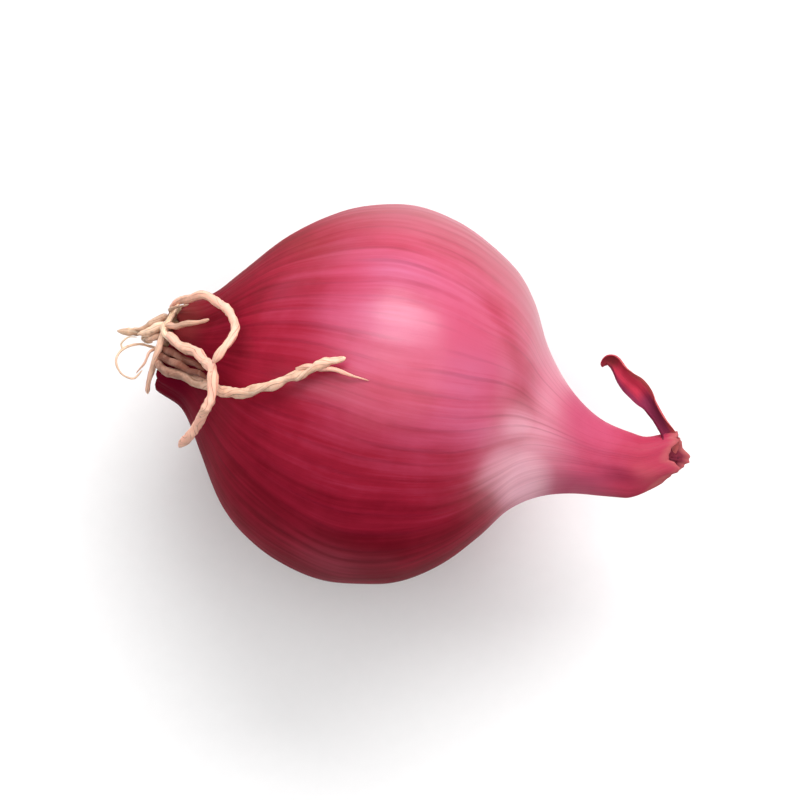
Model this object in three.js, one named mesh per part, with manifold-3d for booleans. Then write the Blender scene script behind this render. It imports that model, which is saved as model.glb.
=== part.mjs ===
// A small red onion lying on its side. It has the bulb in its dry skin with a narrow dry neck, the corky root
// plate, twelve dry root threads and the hooked tip of a dead leaf.
//
// Millimetres, +Z up, +X from the roots toward the neck. The origin is the centre of the small flat spot that
// the bulb rests on. Points on the onion are given as [along, across, up]: along the core from the root
// plate, across to the +Y side, and up from the core.

import * as THREE from 'three';
import { mergeVertices } from 'three/addons/utils/BufferGeometryUtils.js';
import Module from 'manifold-3d';

const wasm = await Module();
wasm.setup();

// Driving dimensions.
const BULB_LENGTH = 40.2;
const BULB_RADIUS = 14.3;
const FLAT_DEPTH = 0.4; // how far the flat spot is pressed in from the round
const REST_ALONG = 16; // where the middle of the flat spot lies along the core
const CORE_HEIGHT = BULB_RADIUS - FLAT_DEPTH;

const BULB_SIDES = 48;
const OUTLINE_STEPS = 40;

const PLATE_RADIUS = 2.6;
const PLATE_FACE_RADIUS = 1.56;
const PLATE_THICKNESS = 1.1;
const PLATE_RIM_THICKNESS = 0.77;
const PLATE_SIDES = 24;
const GAP = 0.3; // clearance between a piece and its neighbour
const PLATE_BACK = PLATE_THICKNESS - GAP;

// How far the middle of each cross-section drifts to the +Y side, and between which places along the core.
// The shoulder is fuller on the +Y side, the neck leans to the -Y side, and its tip turns back past the core.
const DRIFTS = [
  { amount: 0.5, from: 16, to: 25 },
  { amount: -1.4, from: 25.3, to: 34.3 },
  { amount: 1.5, from: 36.6, to: 39.4 },
];

// The side of the bulb, as shares of its length and of its greatest radius: a low cone at the roots, full
// cheeks, a blunt shoulder and the narrow neck.
const SIDE = [
  [0.024, 0.245],
  [0.065, 0.315],
  [0.109, 0.462],
  [0.174, 0.692],
  [0.239, 0.846],
  [0.303, 0.944],
  [0.39, 1],
  [0.478, 0.962],
  [0.542, 0.892],
  [0.607, 0.773],
  [0.652, 0.625],
  [0.694, 0.437],
  [0.736, 0.322],
  [0.781, 0.243],
  [0.824, 0.199],
  [0.89, 0.175],
  [0.955, 0.133],
  [0.985, 0.07],
];

const SKIN = { color: 0xa02942, roughness: 0.42, metalness: 0 };
const CORK = { color: 0x9c7a58, roughness: 0.9, metalness: 0 };
const ROOT = { color: 0xd9ab8c, roughness: 0.8, metalness: 0 };
const LEAF = { color: 0x8e2238, roughness: 0.6, metalness: 0 };

// Each root's thickness and route. The route starts straight out from the rim or the face of the plate.
const ROOTS = [
  // Over the shoulder and along the cheek.
  { thickness: 0.85, route: [[0.15, -1.4, 2.6], [0.15, -1.6, 3], [1.1, -1.8, 4.4], [2.7, -1.8, 5.9],
    [4.3, -2.2, 7.6], [6.4, -2.1, 10.5], [8.6, -0.7, 12.6], [10.8, 0.8, 13.9], [13.2, 2.2, 14.5]] },
  // A loop that stands above the shoulder.
  { thickness: 0.7, route: [[0.15, 2.6, 1.5], [0.1, 2.9, 1.8], [0, 3.1, 3], [0.7, 3.4, 4.4], [2.1, 4.1, 5.8],
    [3.7, 3.8, 7.4], [4.8, 2.5, 9], [4.7, 0.9, 10], [3.9, -0.1, 10.3]] },
  // Over the first root and down off the -Y side.
  { thickness: 0.85, route: [[0.15, 0.4, 2.9], [0.1, 0.5, 3.4], [0.7, 0.6, 4.8], [2.1, 0.1, 6.5],
    [3.7, -1, 8.6], [4.5, -2.6, 9.8], [4.5, -4.4, 8.5], [3.9, -5.9, 5.8], [2.9, -7.1, 3.1]] },
  // Away from the plate, to the root side.
  { thickness: 0.7, route: [[-0.6, 1.3, 0.4], [-1, 1.3, 0.5], [-1.8, 1.1, 0.5], [-2.8, 0.5, 0.2],
    [-3.8, -0.1, -0.2]] },
  // A thin loop beside the plate.
  { thickness: 0.5, route: [[-0.6, -0.6, -0.4], [-1, -0.6, -0.4], [-1.8, -0.7, -0.2], [-2.6, -1.3, 0],
    [-2.9, -2.2, 0.3], [-2.3, -3, 0.3], [-1.4, -2.7, 0]] },
  // A short stub that points up the shoulder.
  { thickness: 0.75, route: [[0.15, 1.6, 2.5], [0.1, 1.8, 2.9], [0.6, 2, 4], [1.5, 2.3, 5],
    [2.6, 2.8, 5.9]] },
  // Down past the plate on the -Y side.
  { thickness: 0.6, route: [[-0.6, -0.5, 0.8], [-0.9, -0.6, 0.9], [-1.1, -1.5, 1.1], [-0.8, -2.9, 0.7],
    [-0.5, -4.6, -0.6]] },
  // Five shorter roots curl under the bulb.
  { thickness: 0.75, route: [[0.15, -0.5, -2.9], [0.1, -0.6, -3.3], [0.8, -1, -5], [2.4, -1, -6.7],
    [4.2, -0.2, -8.9], [5.6, 0.4, -10.9]] },
  { thickness: 0.7, route: [[0.15, 0.8, -2.8], [0.1, 0.9, -3.2], [0.6, 1.5, -4.8], [1.7, 1.9, -6.2],
    [2.9, 2.4, -7.5], [3.3, 2.7, -8.9]] },
  { thickness: 0.65, route: [[0.15, -1.7, -2.4], [0.1, -2, -2.7], [0.6, -2.9, -3.9], [1.9, -3.6, -5.2],
    [3.3, -4, -6.4]] },
  { thickness: 0.65, route: [[0.15, 2.1, -2.1], [0.1, 2.4, -2.3], [0.6, 3, -3.4], [1.9, 3.3, -5.1]] },
  { thickness: 0.6, route: [[-0.6, 0.4, -0.9], [-0.9, 0.4, -1], [-1.6, 0.2, -1.8], [-1.8, 0, -3],
    [-1.2, -0.1, -4.2]] },
];
const ROOT_SIDES = 4; // segments in each half turn
const ROOT_STEP = 0.9; // length of one segment

// The short branch near the end of the first root.
const FORK = { thickness: 0.5, route: [[11, 0.95, 13.95], [12.6, 1.2, 14.3], [14.3, 1.1, 14.5]] };

// The dead leaf bends back from the tip of the neck to a hooked end.
const LEAF_WIDTH = 1.5;
const LEAF_THICKNESS = 0.5;
const LEAF_SIDES = 5; // segments in each half turn
const LEAF_STEPS = 16;
const LEAF_ROUTE = [[38.8, 2.7, 0.4], [37.9, 3.5, 0.7], [36.4, 4.6, 1.0], [34.7, 5.8, 1.1], [33.2, 6.9, 0.9],
  [32.2, 6.2, 0.5]];

const place = ([along, across, up]) =>
  new THREE.Vector3(along - REST_ALONG, across, CORE_HEIGHT + up);

const curveThrough = (route) => new THREE.CatmullRomCurve3(route.map(place), false, 'centripetal');

const drift = (along) =>
  DRIFTS.reduce((sum, { amount, from, to }) => sum + amount * THREE.MathUtils.smoothstep(along, from, to), 0);

function toSolid(geometry) {
  const bare = geometry.clone();
  bare.deleteAttribute('normal');
  bare.deleteAttribute('uv');
  const merged = mergeVertices(bare);
  return new wasm.Manifold(new wasm.Mesh({
    numProp: 3,
    vertProperties: Float32Array.from(merged.attributes.position.array),
    triVerts: Uint32Array.from(merged.index.array),
  }));
}

function toGeometry(solid) {
  const mesh = solid.getMesh();
  const geometry = new THREE.BufferGeometry();
  geometry.setAttribute('position', new THREE.BufferAttribute(mesh.vertProperties, 3));
  geometry.setIndex(new THREE.BufferAttribute(mesh.triVerts, 1));
  geometry.computeVertexNormals();
  return geometry;
}

function named(name, geometry, finish) {
  const mesh = new THREE.Mesh(geometry, new THREE.MeshStandardMaterial(finish));
  mesh.name = name;
  return mesh;
}

// A body of revolution about +X from [along, radius] points that start and end on the core.
function turned(points, sides) {
  const profile = points.map(([along, radius]) => new THREE.Vector2(radius, along));
  const geometry = new THREE.LatheGeometry(profile, sides);
  geometry.rotateZ(-Math.PI / 2);
  return geometry;
}

function makeBulb() {
  const side = new THREE.SplineCurve(
    SIDE.map(([along, radius]) => new THREE.Vector2(along * BULB_LENGTH, radius * BULB_RADIUS)));
  const outline = side.getSpacedPoints(OUTLINE_STEPS).map((p) => [p.x, p.y]);
  const dish = PLATE_BACK + GAP;
  const points = [[dish, 0], [dish, PLATE_RADIUS + GAP], ...outline, [BULB_LENGTH, 0]];
  const round = turned(points, BULB_SIDES);
  const position = round.attributes.position;
  for (let i = 0; i < position.count; i++) {
    const along = position.getX(i);
    const across = position.getY(i) + drift(along);
    const up = position.getZ(i);
    position.setXYZ(i, ...place([along, across, up]));
  }
  const below = new THREE.BoxGeometry(BULB_LENGTH * 2, BULB_LENGTH, BULB_RADIUS);
  below.translate(0, 0, -BULB_RADIUS / 2);
  return named('bulb', toGeometry(toSolid(round).subtract(toSolid(below))), SKIN);
}

// A low domed disc, set in the dish at the base of the bulb.
function makeRootPlate() {
  const front = PLATE_BACK - PLATE_THICKNESS;
  const points = [[front, 0], [front, PLATE_FACE_RADIUS], [PLATE_BACK - PLATE_RIM_THICKNESS, PLATE_RADIUS],
    [PLATE_BACK, PLATE_RADIUS], [PLATE_BACK, 0]];
  const geometry = turned(points, PLATE_SIDES);
  geometry.translate(...place([0, 0, 0]));
  return named('root_plate', geometry, CORK);
}

// A round thread along a curve through the route's points.
function thread({ thickness, route }) {
  const curve = curveThrough(route);
  const section = new THREE.Shape().absarc(0, 0, thickness / 2, 0, Math.PI * 2);
  return new THREE.ExtrudeGeometry(section, {
    steps: Math.ceil(curve.getLength() / ROOT_STEP),
    curveSegments: ROOT_SIDES,
    extrudePath: curve,
  });
}

function makeRoots() {
  return ROOTS.map((root, index) => {
    const name = `root_${String(index + 1).padStart(2, '0')}`;
    const main = thread(root);
    const geometry = index === 0 ? toGeometry(toSolid(main).add(toSolid(thread(FORK)))) : main;
    return named(name, geometry, ROOT);
  });
}

function makeLeafCurl() {
  const curve = curveThrough(LEAF_ROUTE);
  const section = new THREE.Shape()
    .absellipse(0, 0, LEAF_THICKNESS / 2, LEAF_WIDTH / 2, 0, Math.PI * 2, false, 0);
  const geometry = new THREE.ExtrudeGeometry(section, {
    steps: LEAF_STEPS,
    curveSegments: LEAF_SIDES,
    extrudePath: curve,
  });
  return named('leaf_curl', geometry, LEAF);
}

const onion = new THREE.Group();
onion.add(makeBulb(), makeRootPlate(), ...makeRoots(), makeLeafCurl());

export default onion;
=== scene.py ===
"""Looks of a small red onion that lies on its side, in its dry skin, with its dead roots and leaf still on.

Lengths are millimetres until Placement carries them into the model's frame, which is in metres. Points on
the onion are [along, across, up]: along the core from the root plate to the neck, across to the side that
the shoulder is fuller on, and up from the core. Angles round the core start at the across side and go up.
"""

import logging
import math
from dataclasses import dataclass
from enum import Enum

import bpy
import numpy as np
from mathutils import Matrix, Vector


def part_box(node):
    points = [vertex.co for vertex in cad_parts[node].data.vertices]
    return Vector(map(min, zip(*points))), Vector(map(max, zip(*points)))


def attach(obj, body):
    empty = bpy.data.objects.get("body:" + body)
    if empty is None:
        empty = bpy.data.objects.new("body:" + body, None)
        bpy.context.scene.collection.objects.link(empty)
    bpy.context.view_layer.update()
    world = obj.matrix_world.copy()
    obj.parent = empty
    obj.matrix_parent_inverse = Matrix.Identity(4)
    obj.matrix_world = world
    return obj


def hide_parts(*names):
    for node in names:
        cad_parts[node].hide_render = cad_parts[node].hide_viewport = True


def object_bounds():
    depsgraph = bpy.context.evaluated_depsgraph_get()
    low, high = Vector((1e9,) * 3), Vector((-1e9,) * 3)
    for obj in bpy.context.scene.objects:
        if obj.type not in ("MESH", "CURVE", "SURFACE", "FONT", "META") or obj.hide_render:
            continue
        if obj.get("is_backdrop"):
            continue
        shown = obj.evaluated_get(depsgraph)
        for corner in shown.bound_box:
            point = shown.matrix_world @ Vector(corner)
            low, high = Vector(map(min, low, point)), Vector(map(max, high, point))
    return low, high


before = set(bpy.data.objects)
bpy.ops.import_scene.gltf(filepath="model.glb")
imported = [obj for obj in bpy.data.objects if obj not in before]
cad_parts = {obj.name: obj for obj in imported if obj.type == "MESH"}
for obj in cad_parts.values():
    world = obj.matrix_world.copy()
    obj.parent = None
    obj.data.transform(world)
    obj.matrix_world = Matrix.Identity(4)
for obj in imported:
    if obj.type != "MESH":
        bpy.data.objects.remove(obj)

Array = np.ndarray
Socket = bpy.types.NodeSocket
Colour = tuple[float, float, float]

MM = 0.001
LOG = logging.getLogger("red_onion")

# The side of the bulb, as shares of its length and of its greatest radius: a low cone at the roots, full
# cheeks, a blunt shoulder and the narrow neck, which stays open at its end.
SIDE = (
    (0.024, 0.245), (0.065, 0.315), (0.109, 0.462), (0.174, 0.692), (0.239, 0.846), (0.303, 0.944),
    (0.39, 1.0), (0.478, 0.962), (0.542, 0.892), (0.607, 0.773), (0.652, 0.625), (0.694, 0.437),
    (0.736, 0.322), (0.781, 0.243), (0.824, 0.199), (0.89, 0.175), (0.93, 0.163), (0.955, 0.152),
)

# How far the middle of each cross-section drifts across, and between which places along the core.
DRIFTS = ((0.5, 16.0, 25.0), (-1.4, 25.3, 34.3), (1.5, 36.2, 39.6))


def smooth_step(values: Array, low: float, high: float) -> Array:
    """Rises from 0 to 1 between two values, flat at both: 3x squared less 2x cubed.

    Args:
        values: Where to take it.
        low: Where it is 0.
        high: Where it is 1, which may be less than low.

    Returns:
        The step at each value.
    """
    share = np.clip((values - low) / (high - low), 0.0, 1.0)
    return share * share * (3.0 - 2.0 * share)


def unit(vectors: Array) -> Array:
    """Each vector along the last axis, at length 1."""
    return vectors / np.maximum(np.linalg.norm(vectors, axis=-1, keepdims=True), 1e-9)


def ring_angles(count: int) -> Array:
    """The angles of points evenly spaced round a ring."""
    return np.arange(count) * (2.0 * math.pi / count)


def on_circle(angle: Array) -> Array:
    """The point at each angle on a circle of radius 1."""
    return np.stack([np.cos(angle), np.sin(angle)], axis=-1)


def curve_through(points: Array, count: int) -> Array:
    """Points evenly spaced along a smooth curve through some points.

    The curve is a centripetal Catmull-Rom: its knots are as far apart as the roots of the distances, and
    each piece is two rounds of straight blends between its four nearest points.

    Args:
        points: The points to pass through, one a row, in any number of dimensions.
        count: How many points to give back.

    Returns:
        count rows, from the first point to the last.
    """
    given = np.asarray(points, float)
    beyond = 2.0 * given[[0, -1]] - given[[1, -2]]
    p = np.vstack([beyond[:1], given, beyond[1:]])
    knots = np.concatenate([[0.0], np.cumsum(np.linalg.norm(np.diff(p, axis=0), axis=1) ** 0.5)])
    at = np.linspace(knots[1], knots[-2], 40 * len(given))
    i = np.clip(np.searchsorted(knots, at, side="right") - 1, 1, len(p) - 3)

    def blend(a: Array, b: Array, first: Array, last: Array) -> Array:
        """The straight blend from a at knot first to b at knot last."""
        return a + (b - a) * ((at - knots[first]) / (knots[last] - knots[first]))[:, None]

    sides = [blend(p[i + k], p[i + k + 1], i + k, i + k + 1) for k in (-1, 0, 1)]
    halves = [blend(sides[k], sides[k + 1], i + k - 1, i + k + 1) for k in (0, 1)]
    curve = blend(halves[0], halves[1], i, i + 1)
    way = np.concatenate([[0.0], np.cumsum(np.linalg.norm(np.diff(curve, axis=0), axis=1))])
    even = np.linspace(0.0, way[-1], count)
    return np.stack([np.interp(even, way, column) for column in curve.T], axis=1)


def way_length(points: Array) -> float:
    """The length of the line from point to point."""
    return float(np.linalg.norm(np.diff(points, axis=0), axis=1).sum())


@dataclass(frozen=True)
class Ripples:
    """Smooth unevenness that repeats exactly: plane waves of about one wavelength, added together.

    Attributes:
        wavelength: The middle wavelength of the waves.
        seed: Picks the waves.
        waves: How many there are.
    """

    wavelength: float
    seed: int
    waves: int = 20

    def at(self, points: Array) -> Array:
        """The height at each point, about 1 on average either way.

        Args:
            points: Any array of points, with the coordinates on its last axis.

        Returns:
            One number for each point: the sum of the cosines of the point along each wave's own direction.
        """
        random = np.random.default_rng(self.seed)
        direction = unit(random.normal(size=(self.waves, points.shape[-1])))
        pitch = 2.0 * math.pi / (self.wavelength * random.uniform(0.75, 1.3, self.waves))
        phase = random.uniform(0.0, 2.0 * math.pi, self.waves)
        waves = np.cos(points @ (direction * pitch[:, None]).T + phase)
        return waves.sum(-1) * math.sqrt(2.0 / self.waves)


@dataclass(frozen=True)
class Placement:
    """Where the onion's core lies in the model's frame, and the bulb's size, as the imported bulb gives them.

    Attributes:
        start: X of the place where along is 0.
        height: Height of the core above the surface that the onion rests on.
        length: Along the core to the bulb's far end.
        radius: The bulb's greatest radius.
    """

    start: float
    height: float
    length: float
    radius: float

    @classmethod
    def of_bulb(cls) -> "Placement":
        """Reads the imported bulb's box, whose near end is where SIDE starts.

        Returns:
            The placement.
        """
        low, high = (np.array(corner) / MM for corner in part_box("bulb"))
        length = (high[0] - low[0]) / (1.0 - SIDE[0][0])
        radius = (high[1] - low[1]) / 2.0
        return cls(high[0] - length, high[2] - radius, length, radius)

    def to_model(self, points: Array) -> Array:
        """Onion millimetres as metres in the model's frame."""
        return (points + np.array([self.start, 0.0, self.height])) * MM

    def drift(self, along: Array) -> Array:
        """How far across the middle of the cross-section lies: the sum of the smooth steps in DRIFTS."""
        return sum(amount * smooth_step(along, low, high) for amount, low, high in DRIFTS)

    def side(self, count: int) -> Array:
        """Points [along, radius] evenly spaced down the side of the bulb."""
        return curve_through(np.array(SIDE) * [self.length, self.radius], count)


@dataclass
class Shell:
    """One closed surface.

    Attributes:
        points: One point a row, in onion millimetres.
        quads: Four point numbers a row.
        fans: Three point numbers a row, for the faces that close the ends.
        marks: What each point tells its finish, three numbers a row, by name.
    """

    points: Array
    quads: Array
    fans: Array
    marks: dict[str, Array]

    @classmethod
    def of_rings(cls, rings: Array, start: Array, end: Array, marks: dict[str, Array]) -> "Shell":
        """Joins rings of points into a tube, and closes each end to one point.

        Quad (i, j) joins rings i and i + 1 between their points j and j + 1, and the last point of a ring
        is next to its first.

        Args:
            rings: Rings by points by 3.
            start: The point that closes the first ring.
            end: The point that closes the last ring.
            marks: Arrays shaped as rings. An end point takes its ring's average.

        Returns:
            The surface, with its faces outwards.
        """
        count, around = rings.shape[:2]
        number = np.arange(count * around).reshape(count, around)
        beside = np.roll(number, -1, axis=1)
        quads = np.stack([number[:-1], beside[:-1], beside[1:], number[1:]], axis=-1).reshape(-1, 4)
        first, last = np.full(around, count * around), np.full(around, count * around + 1)
        fans = np.vstack([
            np.stack([beside[0], number[0], first], axis=-1),
            np.stack([number[-1], beside[-1], last], axis=-1),
        ])
        points = np.vstack([rings.reshape(-1, 3), start, end])
        spread = {
            name: np.vstack([mark.reshape(-1, 3), mark[0].mean(0), mark[-1].mean(0)])
            for name, mark in marks.items()
        }
        return cls(points, quads, fans, spread).facing_out()

    def facing_out(self) -> "Shell":
        """Turns every face over if they enclose a negative volume.

        Returns:
            The surface with its faces outwards.
        """
        halves = np.vstack([self.quads[:, [0, 1, 2]], self.quads[:, [0, 2, 3]], self.fans])
        a, b, c = (self.points[halves[:, k]] for k in range(3))
        if np.einsum("ij,ij->", a, np.cross(b, c)) >= 0.0:
            return self
        return Shell(self.points, self.quads[:, ::-1], self.fans[:, ::-1], self.marks)


class Slot(Enum):
    """Names for material slots."""

    SKIN = "skin"
    CORK = "cork"
    ROOT = "root"
    DRY_LEAF = "dry_leaf"


def build_piece(name: str, shells: list[Shell], place: Placement) -> bpy.types.Object:
    """Makes one object of some closed surfaces, smooth shaded, with its place in its mesh.

    Args:
        name: The piece's name.
        shells: Its surfaces, all with the same marks.
        place: Carries them into the model's frame.

    Returns:
        The object, which rides on the onion's one body.
    """
    first = np.cumsum([0] + [len(shell.points) for shell in shells[:-1]])
    points = place.to_model(np.vstack([shell.points for shell in shells]))
    quads = np.vstack([shell.quads + at for shell, at in zip(shells, first, strict=True)])
    fans = np.vstack([shell.fans + at for shell, at in zip(shells, first, strict=True)])
    mesh = bpy.data.meshes.new(name)
    mesh.from_pydata(points.tolist(), [], quads.tolist() + fans.tolist())
    for mark in shells[0].marks:
        values = np.vstack([shell.marks[mark] for shell in shells]).astype(np.float32)
        mesh.attributes.new(mark, "FLOAT_VECTOR", "POINT").data.foreach_set("vector", values.ravel())
    mesh.shade_smooth()
    mesh.validate()
    piece = bpy.data.objects.new(name, mesh)
    bpy.context.scene.collection.objects.link(piece)
    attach(piece, "root")
    LOG.info("%s: %d faces", name, len(mesh.polygons))
    return piece


def dress(piece: bpy.types.Object, material: bpy.types.Material, node: str) -> None:
    """Gives a piece its looks, and hides the CAD part that it stands for.

    Args:
        piece: The piece.
        material: Its material.
        node: The CAD node that it stands for.
    """
    piece.data.materials.append(material)
    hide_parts(node)


class Graph:
    """A short way to add and join the nodes of one shader tree."""

    def __init__(self, tree: bpy.types.NodeTree, owner: bpy.types.ID | None = None) -> None:
        """Takes the tree to add to, and the material that owns it."""
        self.tree = tree
        self.owner = owner

    def add(self, kind: str, inputs: dict | None = None, **settings: object) -> bpy.types.Node:
        """Adds a node.

        Args:
            kind: Blender's name for it, without the leading ShaderNode.
            inputs: What goes into each input, by name or number: a socket to join, or a constant.
            **settings: The node's own properties.

        Returns:
            The node.
        """
        node = self.tree.nodes.new("ShaderNode" + kind)
        for name, value in settings.items():
            setattr(node, name, value)
        for key, value in (inputs or {}).items():
            if isinstance(value, bpy.types.NodeSocket):
                self.tree.links.new(value, node.inputs[key])
            elif isinstance(value, tuple) and node.inputs[key].type == "RGBA":
                node.inputs[key].default_value = (*value, 1.0)
            else:
                node.inputs[key].default_value = value
        return node

    def math(self, operation: str, *values: Socket | float) -> Socket:
        """The result of one arithmetic step, such as ADD or SINE."""
        return self.add("Math", dict(enumerate(values)), operation=operation).outputs[0]

    def times(self, a: Socket | float, b: Socket | float) -> Socket:
        """One value times another."""
        return self.math("MULTIPLY", a, b)

    def times_add(self, a: Socket | float, b: Socket | float, c: Socket | float) -> Socket:
        """One value times another, with a third added."""
        return self.math("MULTIPLY_ADD", a, b, c)

    def larger(self, a: Socket, b: Socket) -> Socket:
        """The larger of two values."""
        return self.math("MAXIMUM", a, b)

    def step(self, value: Socket, low: float, high: float) -> Socket:
        """Rises smoothly from 0 at low to 1 at high."""
        inputs = {"Value": value, "From Min": low, "From Max": high}
        return self.add("MapRange", inputs, interpolation_type="SMOOTHSTEP").outputs[0]

    def fit(self, value: Socket, low: float, high: float, given: tuple = (0.0, 1.0)) -> Socket:
        """Carries the given range onto low to high in a straight line."""
        inputs = {"Value": value, "From Min": given[0], "From Max": given[1], "To Min": low, "To Max": high}
        return self.add("MapRange", inputs).outputs[0]

    def shades(self, value: Socket, stops: tuple) -> Socket:
        """The colour that a value from 0 to 1 picks.

        Args:
            value: The value.
            stops: Each place from 0 to 1 and its colour, in order.

        Returns:
            The colour, blended evenly between stops.
        """
        node = self.add("ValToRGB", {0: value})
        ramp = node.color_ramp
        while len(ramp.elements) < len(stops):
            ramp.elements.new(0.5)
        for element, (place, colour) in zip(ramp.elements, stops, strict=True):
            element.position = place
            element.color = (*colour, 1.0)
        return node.outputs[0]

    def blend(self, share: Socket | float, a: Socket | Colour, b: Socket | Colour) -> Socket:
        """The colour that share of the way from a to b gives."""
        return self.add("Mix", {0: share, 6: a, 7: b}, data_type="RGBA").outputs[2]

    def layered(self, colour: Socket, *layers: tuple[Socket, Socket | Colour]) -> Socket:
        """Lays layers over a colour in turn.

        Args:
            colour: The lowest layer.
            *layers: Each further layer's share and colour.

        Returns:
            The colour that shows.
        """
        for share, paint in layers:
            colour = self.blend(share, colour, paint)
        return colour

    def stretch(self, vector: Socket, by: Colour) -> Socket:
        """The vector with each coordinate multiplied by its own number."""
        return self.add("VectorMath", {0: vector, 1: by}, operation="MULTIPLY").outputs[0]

    def noise(self, vector: Socket, scale: float, detail: float = 2.0, roughness: float = 0.5) -> Socket:
        """Soft noise from 0 to 1, at a scale of so many features to a unit."""
        inputs = {"Vector": vector, "Scale": scale, "Detail": detail, "Roughness": roughness}
        return self.add("TexNoise", inputs).outputs[0]

    def mark(self, name: str) -> Socket:
        """The vector that each point of the piece holds under a name."""
        return self.add("Attribute", attribute_name=name).outputs["Vector"]

    def split(self, vector: Socket) -> list[Socket]:
        """The vector's three coordinates."""
        return list(self.add("SeparateXYZ", {0: vector}).outputs)

    def place(self) -> Socket:
        """The place on the piece, in the model's frame, in metres."""
        return self.add("TexCoord").outputs["Object"]

    def use(self, group: bpy.types.NodeTree, inputs: dict) -> bpy.types.bpy_prop_collection:
        """Places a shared group with its own values, and gives its outputs."""
        return self.add("Group", inputs, node_tree=group).outputs

    def give(self, taken: dict[str, Socket], **results: Socket) -> bpy.types.NodeTree:
        """Ends a shared group.

        Args:
            taken: The sockets that its outputs take.
            **results: What goes into each, by name.

        Returns:
            The group.
        """
        for label, socket in results.items():
            self.tree.links.new(socket, taken[label])
        return self.tree


def new_group(name: str, inputs: dict[str, str], outputs: tuple[str, ...]) -> tuple[Graph, dict, dict]:
    """Starts a shared shader group.

    Args:
        name: The group's name.
        inputs: Each input's name and kind, such as Vector or Float.
        outputs: Each output's name. They are all numbers.

    Returns:
        The graph to fill, the sockets that its inputs give, and the sockets that its outputs take.
    """
    tree = bpy.data.node_groups.new(name, "ShaderNodeTree")
    for label, kind in inputs.items():
        tree.interface.new_socket(label, in_out="INPUT", socket_type="NodeSocket" + kind)
    for label in outputs:
        tree.interface.new_socket(label, in_out="OUTPUT", socket_type="NodeSocketFloat")
    given, taken = tree.nodes.new("NodeGroupInput"), tree.nodes.new("NodeGroupOutput")
    return Graph(tree), {s.name: s for s in given.outputs}, {s.name: s for s in taken.inputs}


class SharedEffects:
    """The shader groups that more than one finish uses."""

    def __init__(self) -> None:
        """Builds each group once."""
        self.fibres = self._fibres()
        self.weathering = self._weathering()

    def _fibres(self) -> bpy.types.NodeTree:
        """Lengthwise bands, fine threads and veins of a plant's skin.

        Strand holds a place on a cylinder, so that nothing breaks where the angle starts again. Bands and
        threads are noises drawn out along it. Veins are the peaks of a sine of Count times the angle, which
        sways, and they come and go.

        Returns:
            The group.
        """
        graph, given, taken = new_group(
            "lengthwise_fibres",
            {"Strand": "Vector", "Pitch": "Float", "Count": "Float"},
            ("Bands", "Threads", "Veins", "Height"),
        )
        drawn = graph.stretch(given["Strand"], (1.0, 1.0, 0.1))
        thin = graph.stretch(given["Strand"], (1.0, 1.0, 0.045))
        fine_scale = graph.times(given["Pitch"], 5.0)
        bands = graph.noise(drawn, given["Pitch"], 3.0, 0.55)
        threads = graph.noise(thin, fine_scale, 4.0, 0.65)
        x, y, _ = graph.split(given["Strand"])
        angle = graph.math("ARCTAN2", y, x)
        sway = graph.times(graph.noise(drawn, given["Pitch"], 1.0), 7.0)
        wave = graph.math("SINE", graph.times_add(angle, given["Count"], sway))
        strength = graph.step(graph.noise(drawn, fine_scale, 2.0), 0.35, 0.7)
        veins = graph.times(graph.step(wave, 0.5, 1.0), strength)
        height = graph.times_add(veins, 0.4, graph.times(threads, 0.8))
        return graph.give(taken, Bands=bands, Threads=threads, Veins=veins, Height=height)

    def _weathering(self) -> bpy.types.NodeTree:
        """Blotches and dark specks of a dry surface.

        Blotches are a soft noise with its middle drawn apart. Specks are the near middles of the cells of a
        Voronoi pattern, in only some of the cells.

        Returns:
            The group.
        """
        graph, given, taken = new_group(
            "dry_weathering", {"Place": "Vector", "Size": "Float"}, ("Blotches", "Specks", "Grain")
        )
        place = given["Place"]
        scale = graph.math("DIVIDE", 1.0, given["Size"])
        blotches = graph.step(graph.noise(place, scale, 4.0, 0.6), 0.35, 0.68)
        cells = graph.add("TexVoronoi", {"Vector": place, "Scale": graph.times(scale, 3.0)}).outputs
        few = graph.step(graph.split(cells["Color"])[0], 0.6, 0.9)
        specks = graph.times(graph.step(cells["Distance"], 0.28, 0.08), few)
        grain = graph.noise(place, graph.times(scale, 14.0), 3.0, 0.7)
        return graph.give(taken, Blotches=blotches, Specks=specks, Grain=grain)


def new_material(name: str) -> Graph:
    """Starts a material with an empty tree.

    Args:
        name: The material's name.

    Returns:
        The graph to fill.
    """
    material = bpy.data.materials.new(name)
    material.use_nodes = True
    material.node_tree.nodes.clear()
    return Graph(material.node_tree, material)


def finished(
    graph: Graph, colour: Socket, rough: Socket, height: Socket, relief: float, others: dict
) -> bpy.types.Material:
    """Ends a material's tree with its one shader.

    Args:
        graph: The material's tree so far.
        colour: The base colour.
        rough: The roughness.
        height: The bump's height, from 0 to 1.
        relief: What a height of 1 stands for, in millimetres.
        others: What the shader's other sockets take.

    Returns:
        The material.
    """
    bump = graph.add("Bump", {"Strength": 1.0, "Distance": relief * MM, "Height": height})
    inputs = {"Base Color": colour, "Roughness": rough, "Normal": bump.outputs[0], **others}
    shader = graph.add("BsdfPrincipled", inputs)
    output = graph.add("OutputMaterial")
    graph.tree.links.new(shader.outputs[0], output.inputs[0])
    return graph.owner


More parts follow.
